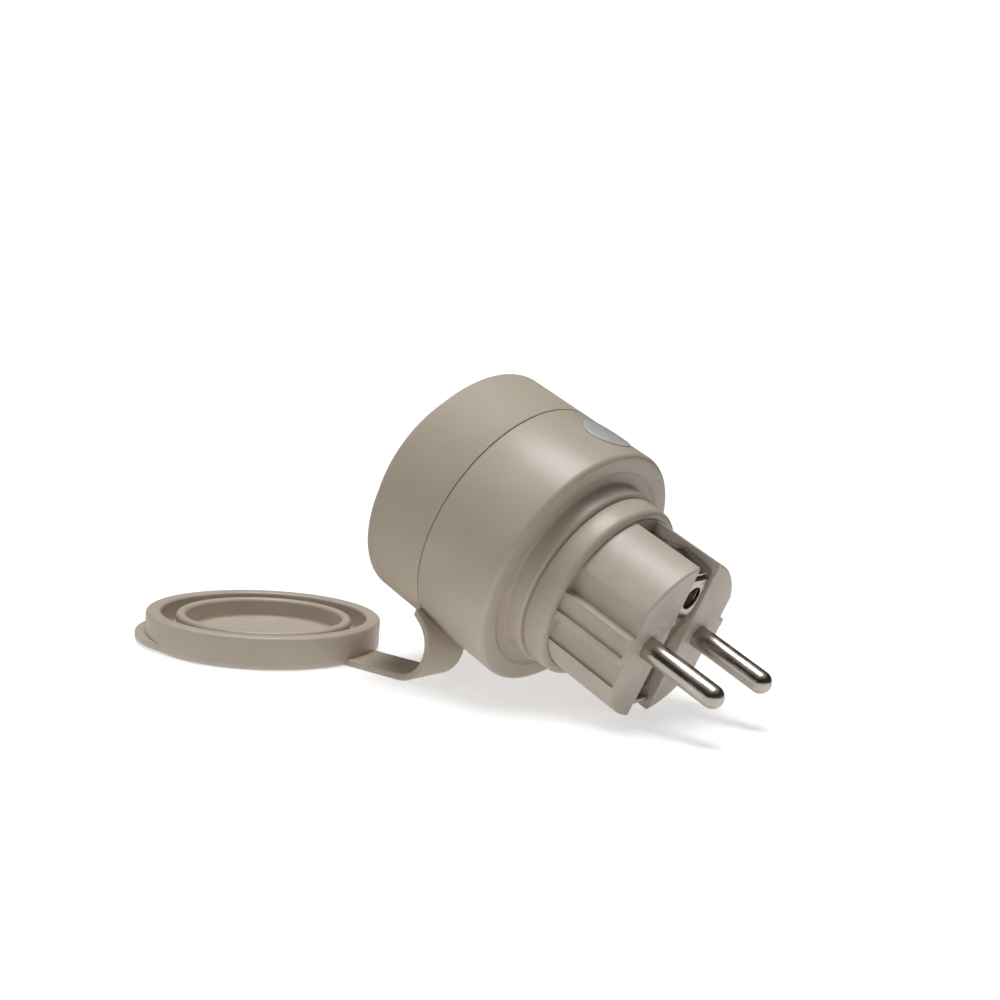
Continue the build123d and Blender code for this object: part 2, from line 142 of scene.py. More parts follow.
# Polished mould: satin skin with slow flow marks and a faint unevenness, no grain.
def polishedPlastic(name, dark, light, roughness=0.34, wave=6.0, depth=0.02, ior=1.5):
    material, tree, shader, coords = startMaterial(name)
    flow = addNode(tree, "ShaderNodeTexNoise", {
        "Vector": coords, "Scale": 1 / (wave * mm), "Detail": 4.0, "Distortion": 0.6,
    })
    dust = addNode(tree, "ShaderNodeTexNoise", {"Vector": coords, "Scale": 1 / (0.7 * mm), "Detail": 2.0})
    tree.links.new(tone(tree, flow.outputs[0], dark, light), shader.inputs["Base Color"])
    rough = addNode(tree, "ShaderNodeMapRange", {
        "Value": dust.outputs[0], "From Min": 0.3, "From Max": 0.7,
        "To Min": roughness - 0.04, "To Max": roughness + 0.06,
    })
    tree.links.new(rough.outputs["Result"], shader.inputs["Roughness"])
    bump = addNode(tree, "ShaderNodeBump", {
        "Height": flow.outputs[0], "Strength": 0.35, "Distance": depth * mm,
    })
    tree.links.new(bump.outputs["Normal"], shader.inputs["Normal"])
    shader.inputs["IOR"].default_value = ior
    return material


# Elastomer boot: cream, between rubber and plastic in shine, a soft broad highlight.
# With a parting line, the two halves of its mould leave a fine ridge along both sides.
def mouldedElastomer(name, dark, light, roughness=0.36, partingLine=False):
    material, tree, shader, coords = startMaterial(name)
    flow = addNode(tree, "ShaderNodeTexNoise", {
        "Vector": coords, "Scale": 1 / (14 * mm), "Detail": 3.0, "Distortion": 0.4,
    })
    skin = addNode(tree, "ShaderNodeTexNoise", {"Vector": coords, "Scale": 1 / (0.5 * mm), "Detail": 2.0})
    tree.links.new(tone(tree, flow.outputs[0], dark, light), shader.inputs["Base Color"])
    rough = addNode(tree, "ShaderNodeMapRange", {
        "Value": skin.outputs[0], "From Min": 0.3, "From Max": 0.7,
        "To Min": roughness - 0.05, "To Max": roughness + 0.05,
    })
    tree.links.new(rough.outputs["Result"], shader.inputs["Roughness"])
    height = skin.outputs[0]
    if partingLine:
        own = addNode(tree, "ShaderNodeSeparateXYZ", {"Vector": bodyMapping(tree, coords)})
        away = addNode(tree, "ShaderNodeMath", {0: own.outputs["Z"]}, operation="ABSOLUTE")
        line = addNode(tree, "ShaderNodeMapRange", {
            "Value": away.outputs[0], "From Min": 0.02 * mm, "From Max": 0.16 * mm,
            "To Min": 3.0, "To Max": 0.0,
        })
        total = addNode(tree, "ShaderNodeMath", {0: line.outputs["Result"], 1: height}, operation="ADD")
        height = total.outputs[0]
    bump = addNode(tree, "ShaderNodeBump", {"Height": height, "Strength": 0.3, "Distance": 0.03 * mm})
    tree.links.new(bump.outputs["Normal"], shader.inputs["Normal"])
    shader.inputs["IOR"].default_value = 1.49
    shader.inputs["Subsurface Weight"].default_value = 0.06
    shader.inputs["Subsurface Radius"].default_value = (1.2, 0.8, 0.5)
    shader.inputs["Subsurface Scale"].default_value = 0.8 * mm
    return material


# Drawn or stamped metal: lines along the drawing direction, worn a little duller in patches.
def workedMetal(name, dark, light, roughness=0.2, lineMm=0.25, stretch=(0.03, 1.0, 1.0)):
    material, tree, shader, coords = startMaterial(name)
    own = bodyMapping(tree, coords)
    drawn = addNode(tree, "ShaderNodeMapping", {"Vector": own, "Scale": stretch})
    lines = addNode(tree, "ShaderNodeTexNoise", {
        "Vector": drawn.outputs["Vector"], "Scale": 1 / (lineMm * mm), "Detail": 3.0,
    })
    wear = addNode(tree, "ShaderNodeTexNoise", {"Vector": own, "Scale": 1 / (3.5 * mm), "Detail": 4.0})
    tree.links.new(tone(tree, wear.outputs[0], dark, light), shader.inputs["Base Color"])
    rough = addNode(tree, "ShaderNodeMapRange", {
        "Value": wear.outputs[0], "From Min": 0.3, "From Max": 0.7,
        "To Min": roughness - 0.05, "To Max": roughness + 0.09,
    })
    tree.links.new(rough.outputs["Result"], shader.inputs["Roughness"])
    bump = addNode(tree, "ShaderNodeBump", {
        "Height": lines.outputs[0], "Strength": 0.25, "Distance": 0.012 * mm,
    })
    tree.links.new(bump.outputs["Normal"], shader.inputs["Normal"])
    shader.inputs["Metallic"].default_value = 1.0
    return material


# Insert moulding: satin, with the faint ring that an ejector or core pin leaves round each plug pin.
mouldMarks = {"pinOffAxis": 9.5, "ringR": 4.7, "lineInner": 0.05, "lineOuter": 0.22, "faceDeep": 0.4}


def mouldedInsert(name, dark, light, s):
    material = polishedPlastic(name, dark, light, roughness=0.38)
    tree = material.node_tree
    shader = next(node for node in tree.nodes if node.type == "BSDF_PRINCIPLED")
    bump = next(node for node in tree.nodes if node.type == "BUMP")
    coords = next(node for node in tree.nodes if node.type == "TEX_COORD").outputs["Object"]
    own = addNode(tree, "ShaderNodeSeparateXYZ", {"Vector": bodyMapping(tree, coords)})
    across = addNode(tree, "ShaderNodeMath", {0: own.outputs["Y"]}, operation="ABSOLUTE")
    fromPin = addNode(tree, "ShaderNodeMath", {
        0: across.outputs[0], 1: s["pinOffAxis"] * mm,
    }, operation="SUBTRACT")
    flat = addNode(tree, "ShaderNodeCombineXYZ", {"X": fromPin.outputs[0], "Y": own.outputs["Z"]})
    reach = addNode(tree, "ShaderNodeVectorMath", {0: flat.outputs[0]}, operation="LENGTH")
    offRing = addNode(tree, "ShaderNodeMath", {
        0: reach.outputs["Value"], 1: s["ringR"] * mm,
    }, operation="SUBTRACT")
    away = addNode(tree, "ShaderNodeMath", {0: offRing.outputs[0]}, operation="ABSOLUTE")
    mark = addNode(tree, "ShaderNodeMapRange", {
        "Value": away.outputs[0], "From Min": s["lineInner"] * mm, "From Max": s["lineOuter"] * mm,
        "To Min": 1.0, "To Max": 0.0,
    })
    onFace = addNode(tree, "ShaderNodeMath", {
        0: own.outputs["X"], 1: -s["faceDeep"] * mm,
    }, operation="GREATER_THAN")
    ringHeight = addNode(tree, "ShaderNodeMath", {
        0: mark.outputs[0], 1: onFace.outputs[0],
    }, operation="MULTIPLY")
    ring = addNode(tree, "ShaderNodeBump", {
        "Height": ringHeight.outputs[0], "Strength": 0.5, "Distance": 0.1 * mm,
        "Normal": bump.outputs["Normal"],
    })
    tree.links.new(ring.outputs["Normal"], shader.inputs["Normal"])
    return material


# Push button: milky polycarbonate, a little see-through under the skin.
def milkyPolycarbonate(name, dark, light):
    material = polishedPlastic(name, dark, light, roughness=0.22, wave=4.0, depth=0.01, ior=1.58)
    shader = next(node for node in material.node_tree.nodes if node.type == "BSDF_PRINCIPLED")
    shader.inputs["Subsurface Weight"].default_value = 0.35
    shader.inputs["Subsurface Radius"].default_value = (1.0, 1.0, 1.1)
    shader.inputs["Subsurface Scale"].default_value = 1.0 * mm
    return material


# Glass-epoxy board: dark solder mask over a weave of glass, with paler copper runs beneath it.
def boardLaminate(name, maskDark, maskLight, copper):
    material, tree, shader, coords = startMaterial(name)
    own = bodyMapping(tree, coords)
    weave = addNode(tree, "ShaderNodeTexWave", {
        "Vector": own, "Scale": 1 / (0.9 * mm) / 6.2832,
    }, bands_direction="Y")
    tracks = addNode(tree, "ShaderNodeTexVoronoi", {
        "Vector": own, "Scale": 1 / (3.0 * mm),
    }, distance="CHEBYCHEV")
    mask = tone(tree, weave.outputs[1], maskDark, maskLight, 0.2, 0.8)
    onTrack = addNode(tree, "ShaderNodeMath", {
        0: tracks.outputs["Distance"], 1: 0.5,
    }, operation="GREATER_THAN")
    mix = addNode(tree, "ShaderNodeMix", {0: onTrack.outputs[0], 6: mask}, data_type="RGBA")
    mix.inputs[7].default_value = hexToLinear(copper)
    tree.links.new(mix.outputs[2], shader.inputs["Base Color"])
    bump = addNode(tree, "ShaderNodeBump", {
        "Height": onTrack.outputs[0], "Strength": 0.4, "Distance": 0.035 * mm,
    })
    tree.links.new(bump.outputs["Normal"], shader.inputs["Normal"])
    shader.inputs["Roughness"].default_value = 0.3
    shader.inputs["IOR"].default_value = 1.55
    return material


# Two-colour earth insulation: a yellow stripe on green, along the wire.
def earthInsulation(name, greenDark, greenLight, yellow):
    material, tree, shader, coords = startMaterial(name)
    own = addNode(tree, "ShaderNodeSeparateXYZ", {"Vector": bodyMapping(tree, coords)})
    stripe = addNode(tree, "ShaderNodeMath", {0: own.outputs["Y"], 1: 0.25 * mm}, operation="GREATER_THAN")
    smudge = addNode(tree, "ShaderNodeTexNoise", {"Vector": coords, "Scale": 1 / (1.5 * mm), "Detail": 2.0})
    greenTone = tone(tree, smudge.outputs[0], greenDark, greenLight)
    mix = addNode(tree, "ShaderNodeMix", {0: stripe.outputs[0], 6: greenTone}, data_type="RGBA")
    mix.inputs[7].default_value = hexToLinear(yellow)
    tree.links.new(mix.outputs[2], shader.inputs["Base Color"])
    shader.inputs["Roughness"].default_value = 0.42
    shader.inputs["IOR"].default_value = 1.53
    return material


creams = {"boot": ("#beb2a4", "#c6baac"), "cover": ("#bcb09e", "#c4b8a6"), "insert": ("#c0b4a7", "#c9beb1")}
materials = {
    "coverPlastic": erodedPlastic("erodedCoverPlastic", *creams["cover"]),
    "bootRubber": mouldedElastomer("mouldedBootElastomer", *creams["boot"], partingLine=True),
    "strapRubber": mouldedElastomer("mouldedCapElastomer", *creams["boot"], roughness=0.42),
    "insertPlastic": mouldedInsert("mouldedInsertPlastic", *creams["insert"], mouldMarks),
    "cupPlastic": erodedPlastic("erodedCupPlastic", "#b5ac9d", "#beb5a6", grain=0.5),
    "carrierPlastic": polishedPlastic("mouldedCarrierPlastic", "#dcdad2", "#e8e6e0", roughness=0.45),
    "shutterPlastic": polishedPlastic("acetalShutter", "#c9c2b4", "#d6cfc2", roughness=0.3),
    "shellPlastic": erodedPlastic("erodedShellPlastic", "#3c3c3e", "#4b4b4d", roughness=0.55),
    "sealRubber": mouldedElastomer("greigeSealRubber", "#857a6c", "#918677", roughness=0.6),
    "nickelPlate": workedMetal(
        "drawnNickelPlate", "#aaa198", "#c4bcb2", roughness=0.22, lineMm=0.2, stretch=(1.0, 0.35, 0.35),
    ),
    "contactBrass": workedMetal("stampedBrass", "#c79f52", "#dcb869", roughness=0.26),
    "tinnedCopper": workedMetal("tinnedCopperStrip", "#b3afa8", "#c9c6bf", roughness=0.34),
    "springSteel": workedMetal("drawnSpringWire", "#8d8d90", "#a8a8ab", roughness=0.24, lineMm=0.12),
    "screwSteel": workedMetal("zincPlatedScrew", "#9fa3ab", "#c2c4c6", roughness=0.28, lineMm=0.5),
    "earthWire": earthInsulation("earthWireInsulation", "#2f7a2e", "#3f8f3a", "#d8c52e"),
    "boardLaminate": boardLaminate("glassEpoxyBoard", "#0e3d26", "#14492e", "#2c6b45"),
    "relayPlastic": polishedPlastic("sealedRelayCase", "#1c2c52", "#24366a", roughness=0.3),
    "varistorCoat": polishedPlastic(
        "dippedVaristorCoat", "#1d3f84", "#2a55a6", roughness=0.2, wave=1.5, depth=0.08,
    ),
    "fuseCeramic": polishedPlastic("fuseCeramic", "#d6cfbe", "#e2dccd", roughness=0.5, wave=1.2),
    "filmCase": polishedPlastic("filmCapacitorCase", "#c8951d", "#dba92e", roughness=0.35),
    "canSleeve": workedMetal("aluminiumCan", "#a3a4a8", "#bbbcc0", roughness=0.3, stretch=(1.0, 1.0, 0.03)),
    "ferrite": erodedPlastic("woundFerrite", "#262628", "#343436", roughness=0.7, grain=0.3, depth=0.06),
    "tinPlate": workedMetal("tinPlatedCan", "#b4b6b8", "#c9cbcc", roughness=0.3, lineMm=0.4),
    "buttonClear": milkyPolycarbonate("milkyButton", "#c6c5c3", "#cdcccb"),
    "ledBody": polishedPlastic("diffusedLens", "#e8e2b8", "#f2edcf", roughness=0.25, wave=0.8),
}
print("materials made", len(materials))


def drawWire(bm, places, closed=False):
    # straight edges through places in mm, returning the points
    points = [bm.verts.new((x * mm, y * mm, z * mm)) for x, y, z in places]
    for a, b in zip(points, points[1:] + points[:1] if closed else points[1:]):
        bm.edges.new((a, b))
    return points


def roundCorners(bm, corners, radius, segments):
    bmesh.ops.bevel(
        bm, geom=corners, offset=radius * mm, offset_type="OFFSET", segments=segments, profile=0.5,
        affect="VERTICES", material=-1,
    )


def ringProfile(outline):
    # closed outline of (x, r, corner radius) in mm, corners rounded, as a bmesh wire in the xy plane
    bm = bmesh.new()
    points = drawWire(bm, [(x, r, 0) for x, r, radius in outline], closed=True)
    for point, (x, r, radius) in zip(points, outline):
        if radius > 0:
            roundCorners(bm, [point], radius, 5 if radius > 0.6 else 3)
    return bm


def spinRound(bm, axis="X", steps=144):
    way = {"X": (1, 0, 0), "Z": (0, 0, 1)}[axis]
    bmesh.ops.spin(
        bm, geom=bm.verts[:] + bm.edges[:], cent=(0, 0, 0), axis=way, dvec=(0, 0, 0), angle=2 * math.pi,
        steps=steps, use_merge=True, use_duplicate=False,
    )
    bmesh.ops.remove_doubles(bm, verts=bm.verts[:], dist=0.002 * mm)
    bmesh.ops.recalc_face_normals(bm, faces=bm.faces[:])
    return bm


def finishMesh(name, bm, material, place=None, sharpDegrees=32):
    if place is not None:
        bm.transform(place)
    mesh = bpy.data.meshes.new(name)
    bm.to_mesh(mesh)
    bm.free()
    mesh.shade_smooth()
    mesh.set_sharp_from_angle(angle=math.radians(sharpDegrees))
    mesh.materials.append(materials[material])
    piece = bpy.data.objects.new(name, mesh)
    bpy.context.scene.collection.objects.link(piece)
    return piece


def cutAway(piece, bm, name):
    # takes a closed cutter out of a piece and keeps the result as its mesh
    mesh = bpy.data.meshes.new(name)
    bm.to_mesh(mesh)
    bm.free()
    cutter = bpy.data.objects.new(name, mesh)
    bpy.context.scene.collection.objects.link(cutter)
    carve = piece.modifiers.new("carve", "BOOLEAN")
    carve.operation = "DIFFERENCE"
    carve.solver = "EXACT"
    carve.object = cutter
    bpy.context.view_layer.update()
    result = bpy.data.meshes.new_from_object(piece.evaluated_get(bpy.context.evaluated_depsgraph_get()))
    piece.modifiers.clear()
    old = piece.data
    piece.data = result
    bpy.data.meshes.remove(old)
    bpy.data.objects.remove(cutter)
    bpy.data.meshes.remove(mesh)
    piece.data.set_sharp_from_angle(angle=math.radians(32))


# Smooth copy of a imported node: its loose triangles are merged so that curved faces shade as one.
# With a rounding, its sharp edges are broken as a mould or a press leaves them.
def smoothCopy(node, name, material, body, rounding):
    bm = bmesh.new()
    bm.from_mesh(frame["nodes"][node].data)
    bmesh.ops.remove_doubles(bm, verts=bm.verts[:], dist=0.001 * mm)
    bmesh.ops.recalc_face_normals(bm, faces=bm.faces[:])
    if rounding:
        bmesh.ops.dissolve_limit(bm, angle_limit=math.radians(0.5), verts=bm.verts[:], edges=bm.edges[:])
        joined = [edge for edge in bm.edges if edge.is_manifold]
        corners = [edge for edge in joined if edge.calc_face_angle(0) > math.radians(32)]
        bmesh.ops.bevel(
            bm, geom=corners, offset=rounding * mm, offset_type="OFFSET", segments=3, profile=0.5,
            affect="EDGES", clamp_overlap=True, material=-1,
        )
    piece = finishMesh(name, bm, material, sharpDegrees=28)
    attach(piece, body)
    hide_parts(node)
    return piece


frontCoverSizes = {
    "front": -62.6, "seam": -46.3, "outerR": 28.0, "wall": 2.1, "face": 2.6, "collarReach": 4.0,
    "collarR": 22.9, "cupR": 21.25, "rimRound": 0.8,
}


def buildFrontCover(s):
    mouth = s["front"] - s["collarReach"]
    inner = s["outerR"] - s["wall"]
    bm = ringProfile([
        (s["front"], s["outerR"], s["rimRound"]), (s["seam"], s["outerR"], 0.2), (s["seam"], inner, 0.2),
        (s["front"] + s["face"], inner, 0.5), (s["front"] + s["face"], s["cupR"], 0), (mouth, s["cupR"], 0.3),
        (mouth, s["collarR"], 0.7), (s["front"], s["collarR"], 0.35),
    ])
    piece = finishMesh("frontCover", spinRound(bm), "coverPlastic", bodyPlace)
    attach(piece, "plug")
    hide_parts("front_cover")


buildFrontCover(frontCoverSizes)
print("front cover made")

bootSizes = {
    "seam": -46.1, "rear": -26.7, "outerR": 28.0, "innerR": 25.8, "stepR": 23.7, "stepDeep": 0.5,
    "neckR": 20.9, "neckEnd": -23.0, "groove": 0.5, "grooveWide": 0.4, "collarR": 20.2, "collarEnd": -17.2,
    "insertR": 18.35, "back": -28.3, "buttonX": -35.7, "buttonHoleR": 5.7, "drillMid": 27.0,
    "drillLong": 12.0,
}


def buildBoot(s):
    grooveR = s["collarR"] - s["groove"]
    grooveEnd = s["neckEnd"] + s["grooveWide"]
    stepX = s["rear"] - s["stepDeep"]
    bm = ringProfile([
        (s["seam"], s["outerR"], 0.25), (s["rear"], s["outerR"], 1.2), (s["rear"], s["stepR"] + 0.3, 0.3),
        (stepX, s["stepR"] - 0.3, 0.3), (stepX, s["neckR"], 0.4),
        (s["neckEnd"], s["neckR"], 0.6), (s["neckEnd"], grooveR, 0.15), (grooveEnd, grooveR, 0.15),
        (grooveEnd, s["collarR"], 0.35), (s["collarEnd"], s["collarR"], 1.3),
        (s["collarEnd"], s["insertR"], 0.2), (s["back"], s["insertR"], 0), (s["back"], s["innerR"], 0.4),
        (s["seam"], s["innerR"], 0),
    ])
    piece = finishMesh("boot", spinRound(bm, steps=180), "bootRubber", bodyPlace)
    drill = bmesh.new()
    bmesh.ops.create_cone(
        drill, cap_ends=True, segments=96, radius1=s["buttonHoleR"] * mm, radius2=s["buttonHoleR"] * mm,
        depth=s["drillLong"] * mm, matrix=Matrix.Translation((s["buttonX"] * mm, 0, s["drillMid"] * mm)),
    )
    drill.transform(buttonPlace)
    cutAway(piece, drill, "buttonDrill")
    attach(piece, "plug")
    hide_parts("boot")


buildBoot(bootSizes)
print("boot made")

buttonSizes = {
    "x": -35.7, "r": 5.6, "low": 23.6, "top": 28.3, "flangeR": 6.6, "flangeTop": 24.4, "edge": 0.3,
    "hollowDeep": 0.8, "hollowInset": 1.4, "mouthInset": 1.2,
}


def buildButton(s):
    # turned outline, then its top laid over the boot's round
    bm = bmesh.new()
    hollowTop = s["low"] + s["hollowDeep"]
    outline = [
        (0, hollowTop), (s["r"] - s["hollowInset"], hollowTop), (s["r"] - s["mouthInset"], s["low"]),
        (s["flangeR"], s["low"]), (s["flangeR"], s["flangeTop"]),
        (s["r"], s["flangeTop"]), (s["r"], s["top"]),
    ]
    rim = len(outline) - 1
    outline += [(s["r"] * share, s["top"]) for share in (0.8, 0.6, 0.4, 0.2, 0)]
    points = drawWire(bm, [(r, 0, z) for r, z in outline])
    roundCorners(bm, [points[rim]], s["edge"], 4)
    spinRound(bm, "Z", 72)
    for vert in bm.verts:
        drop = s["top"] * mm - math.sqrt((s["top"] * mm) ** 2 - vert.co.y ** 2)
        share = (vert.co.z / mm - s["flangeTop"]) / (s["top"] - s["flangeTop"])
        vert.co.z -= drop * max(0.0, share)
    bm.transform(Matrix.Translation((s["x"] * mm, 0, 0)))
    piece = finishMesh("pushButton", bm, "buttonClear", buttonPlace)
    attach(piece, "button")
    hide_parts("button_cap")


buildButton(buttonSizes)
print("button made")

pinSizes = {
    "r": 2.4, "length": 19.0, "pitch": 19.0, "tailEnd": -13.0, "tailR": 1.5, "tailChamfer": 0.2,
    "shankEnd": -10.4, "headBack": -9.9, "headFront": -9.1, "headR": 3.2,
}


def buildPin(s, side, node):
    bm = bmesh.new()
    domeX = s["length"] - s["r"]
    outline = [
        (s["tailEnd"], 0), (s["tailEnd"], s["tailR"] - s["tailChamfer"]),
        (s["tailEnd"] + s["tailChamfer"], s["tailR"]), (s["shankEnd"], s["tailR"]), (s["shankEnd"], s["r"]),
        (s["headBack"], s["r"]), (s["headBack"], s["headR"]), (s["headFront"], s["headR"]),
        (s["headFront"], s["r"]), (domeX, s["r"]),
    ]
    points = drawWire(bm, [(x, r, 0) for x, r in outline])
    bmesh.ops.spin(
        bm, geom=[points[-1]], cent=(domeX * mm, 0, 0), axis=(0, 0, 1), dvec=(0, 0, 0), angle=-math.pi / 2,
        steps=14, use_merge=False, use_duplicate=False,
    )
    spinRound(bm, "X", 64)
    bm.transform(Matrix.Translation((0, side * s["pitch"] / 2 * mm, 0)))
    piece = finishMesh(node.replace("pin_", "pin"), bm, "nickelPlate", bodyPlace)
    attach(piece, "plug")
    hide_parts(node)


for side, node in ((-1, "pin_live"), (1, "pin_neutral")):
    buildPin(pinSizes, side, node)
print("pins made")

capSizes = {
    "outerR": 26.6, "high": 7.3, "floor": 2.4, "rimInnerR": 23.25, "ringR": 19.9, "ringWall": 2.2,
    "ringHigh": 6.9, "tabReach": 2.7, "tabInset": 2.2, "tabSide": 210.0, "tabLow": 0.4, "tabHigh": 2.2,
    "tabRound": 0.6,
}


def buildCap(s):
    ringInner = s["ringR"] - s["ringWall"]
    bm = bmesh.new()
    outline = [
        (0, 0, 0), (s["outerR"], 0, 1.4), (s["outerR"], s["high"], 0.7), (s["rimInnerR"], s["high"], 0.7),
        (s["rimInnerR"], s["floor"], 0.6), (s["ringR"], s["floor"], 0.6), (s["ringR"], s["ringHigh"], 0.9),
        (ringInner, s["ringHigh"], 0.9), (ringInner, s["floor"], 0.8), (0, s["floor"], 0),
    ]
    points = drawWire(bm, [(r, 0, z) for r, z, radius in outline])
    for point, (r, z, radius) in zip(points, outline):
        if radius:
            roundCorners(bm, [point], radius, 5)
    spinRound(bm, "Z", 168)
    shift = s["tabInset"] * s["tabReach"]
    tabR = s["outerR"] + s["tabReach"] - shift
    turn = math.radians(s["tabSide"])
    tab = bmesh.ops.create_cone(
        bm, cap_ends=True, segments=128, radius1=tabR * mm, radius2=tabR * mm,
        depth=(s["tabHigh"] - s["tabLow"]) * mm, matrix=Matrix.Translation((
            shift * math.cos(turn) * mm, shift * math.sin(turn) * mm, (s["tabLow"] + s["tabHigh"]) / 2 * mm,
        )),
    )
    rims = [edge for vert in tab["verts"] for edge in vert.link_edges if len(edge.link_faces) == 2]
    rims = [edge for edge in set(rims) if abs(edge.verts[0].co.z - edge.verts[1].co.z) < 0.01 * mm]
    bmesh.ops.bevel(
        bm, geom=rims, offset=s["tabRound"] * mm, offset_type="OFFSET", segments=4, profile=0.5,
        affect="EDGES", material=-1,
    )
    piece = finishMesh("cap", bm, "strapRubber", Matrix.Translation(capCentre))
    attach(piece, "cap")
    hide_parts("cap")


buildCap(capSizes)
print("cap made")

strapSizes = {
    "thick": 1.5, "half": 6.0, "curlR": 7.0, "rise": 45.0, "rootRun": 7.0, "edge": 0.35, "hingeGap": 0.3,
    "groundRun": 7.0, "intoCap": 24.0,
}


def strapSection(s, centre, slope):
    # rounded rectangle across the strap, standing at centre, its run pointing along slope in the xz plane
    bm = bmesh.new()
    bmesh.ops.create_grid(bm, x_segments=1, y_segments=1, size=1)
    bmesh.ops.scale(bm, vec=(s["thick"] / 2 * mm, s["half"] * mm, 1), verts=bm.verts[:])
    roundCorners(bm, bm.verts[:], s["edge"], 3)
    bm.transform(Matrix.Translation(centre) @ Matrix.Rotation(slope, 4, "Y"))
    return bm


def pushOn(bm, faces, move, steps):
    # extrudes the end face along move in equal steps and returns the new end
    for _ in range(steps):
        grown = bmesh.ops.extrude_face_region(bm, geom=faces)
        verts = [item for item in grown["geom"] if isinstance(item, bmesh.types.BMVert)]
        bmesh.ops.delete(bm, geom=faces, context="FACES_ONLY")
        faces = [item for item in grown["geom"] if isinstance(item, bmesh.types.BMFace)]
        bmesh.ops.translate(bm, vec=move / steps, verts=verts)
    return faces


def trimAtSeam(bm, above):
    # keeps what lies on the boot's side of the seam, above a height, and closes the cut
    way = bodyPlace.to_3x3() @ Vector((-1, 0, 0))
    place = bodyPlace @ Vector((bootSizes["seam"] * mm, 0, 0))
    faces = [face for face in bm.faces if face.calc_center_median().z > above]
    edges = {edge for face in faces for edge in face.edges}
    verts = {vert for face in faces for vert in face.verts}
    cut = bmesh.ops.bisect_plane(
        bm, geom=list(verts) + list(edges) + faces, dist=0.0001 * mm, plane_co=place, plane_no=way,
        clear_outer=True,
    )
    rim = [item for item in cut["geom_cut"] if isinstance(item, bmesh.types.BMEdge)]
    if rim:
        bmesh.ops.holes_fill(bm, edges=rim)


def buildStrap(s):
    bandLow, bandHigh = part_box("strap_band")
    curlX = bandHigh.x + s["hingeGap"] * mm
    groundEnd = curlX - s["groundRun"] * mm
    midY = (bandLow.y + bandHigh.y) / 2
    outer = (s["curlR"] + s["thick"]) * mm
    midR = (s["curlR"] + s["thick"] / 2) * mm
    centre = Vector((curlX, midY, outer))
    rise = math.radians(s["rise"])
    start = centre + Vector((math.cos(rise), 0, math.sin(rise))) * midR
    upLeft = Vector((-math.sin(rise), 0, math.cos(rise)))
    bm = strapSection(s, start + upLeft * s["rootRun"] * mm, -rise)
    faces = pushOn(bm, bm.faces[:], -upLeft * s["rootRun"] * mm, 6)
    trimAtSeam(bm, start.z + 0.1 * mm)
    turned = bmesh.ops.spin(
        bm, geom=faces, cent=centre, axis=(0, 1, 0), dvec=(0, 0, 0), angle=math.radians(90 + s["rise"]),
        steps=32, use_merge=False, use_duplicate=False,
    )
    bmesh.ops.delete(bm, geom=faces, context="FACES_ONLY")
    ends = [item for item in turned["geom_last"] if isinstance(item, bmesh.types.BMFace)]
    pushOn(bm, ends, Vector((groundEnd - curlX, 0, 0)), 6)
    bmesh.ops.recalc_face_normals(bm, faces=bm.faces[:])
    piece = finishMesh("strapCurl", bm, "strapRubber")
    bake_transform(piece)
    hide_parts("strap_curl")

    bm = strapSection(s, Vector((groundEnd, midY, s["thick"] / 2 * mm)), math.pi / 2)
    toCap = capCentre.x + s["intoCap"] * mm - groundEnd
    pushOn(bm, bm.faces[:], Vector((toCap, 0, 0)), 16)
    bmesh.ops.recalc_face_normals(bm, faces=bm.faces[:])
    tail = finishMesh("strapTail", bm, "strapRubber")
    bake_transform(tail)
    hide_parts("strap_band")


buildStrap(strapSizes)
print("strap made")

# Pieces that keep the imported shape, shaded smooth: name, material, body, rounding in mm.
copies = {
    "plug_insert": ("plugInsert", "insertPlastic", "plug", 0.25),
    "socket_cup": ("socketCup", "cupPlastic", "plug", 0.2),
    "earth_face_strap": ("earthFaceStrap", "nickelPlate", "plug", 0.12),
    "earth_clip_top": ("earthClipTop", "nickelPlate", "plug", 0.1),
    "earth_clip_bottom": ("earthClipBottom", "nickelPlate", "plug", 0.1),
    "earth_pin_sleeve": ("earthPinSleeve", "nickelPlate", "plug", 0.1),
    "socket_earth": ("socketEarth", "nickelPlate", "plug", 0.1),
    "shutter": ("shutterWing", "shutterPlastic", "shutter", 0.15),
    "seam_gasket": ("seamGasket", "sealRubber", "plug", 0.0),
    "contact_carrier": ("contactCarrier", "carrierPlastic", "plug", 0.0),
    "inner_shell": ("innerShell", "shellPlastic", "plug", 0.0),
}
for node, (name, material, body, rounding) in copies.items():
    smoothCopy(node, name, material, body, rounding)

slots = {item["node"]: item["material_slot"] for item in frame["record"]["subparts"]}
for node, shape in frame["nodes"].items():
    if not shape.hide_render:
        shape.data.materials.clear()
        shape.data.materials.append(materials[slots[node]])
print("packed pieces dressed")


studioSizes = {
    "floorHalf": 6.0, "brightR": 0.15, "dimR": 0.38, "floorGlow": 0.44, "floorSeen": 0.56,
    "wallStrength": 0.035, "ceilingStrength": 0.5, "overhead": 2.0, "overheadDeg": 30,
    "keyPower": 0.36, "keySize": (0.2, 0.12), "keyTurnDeg": -114, "keyAway": 0.8, "aimHigh": 0.03,
}


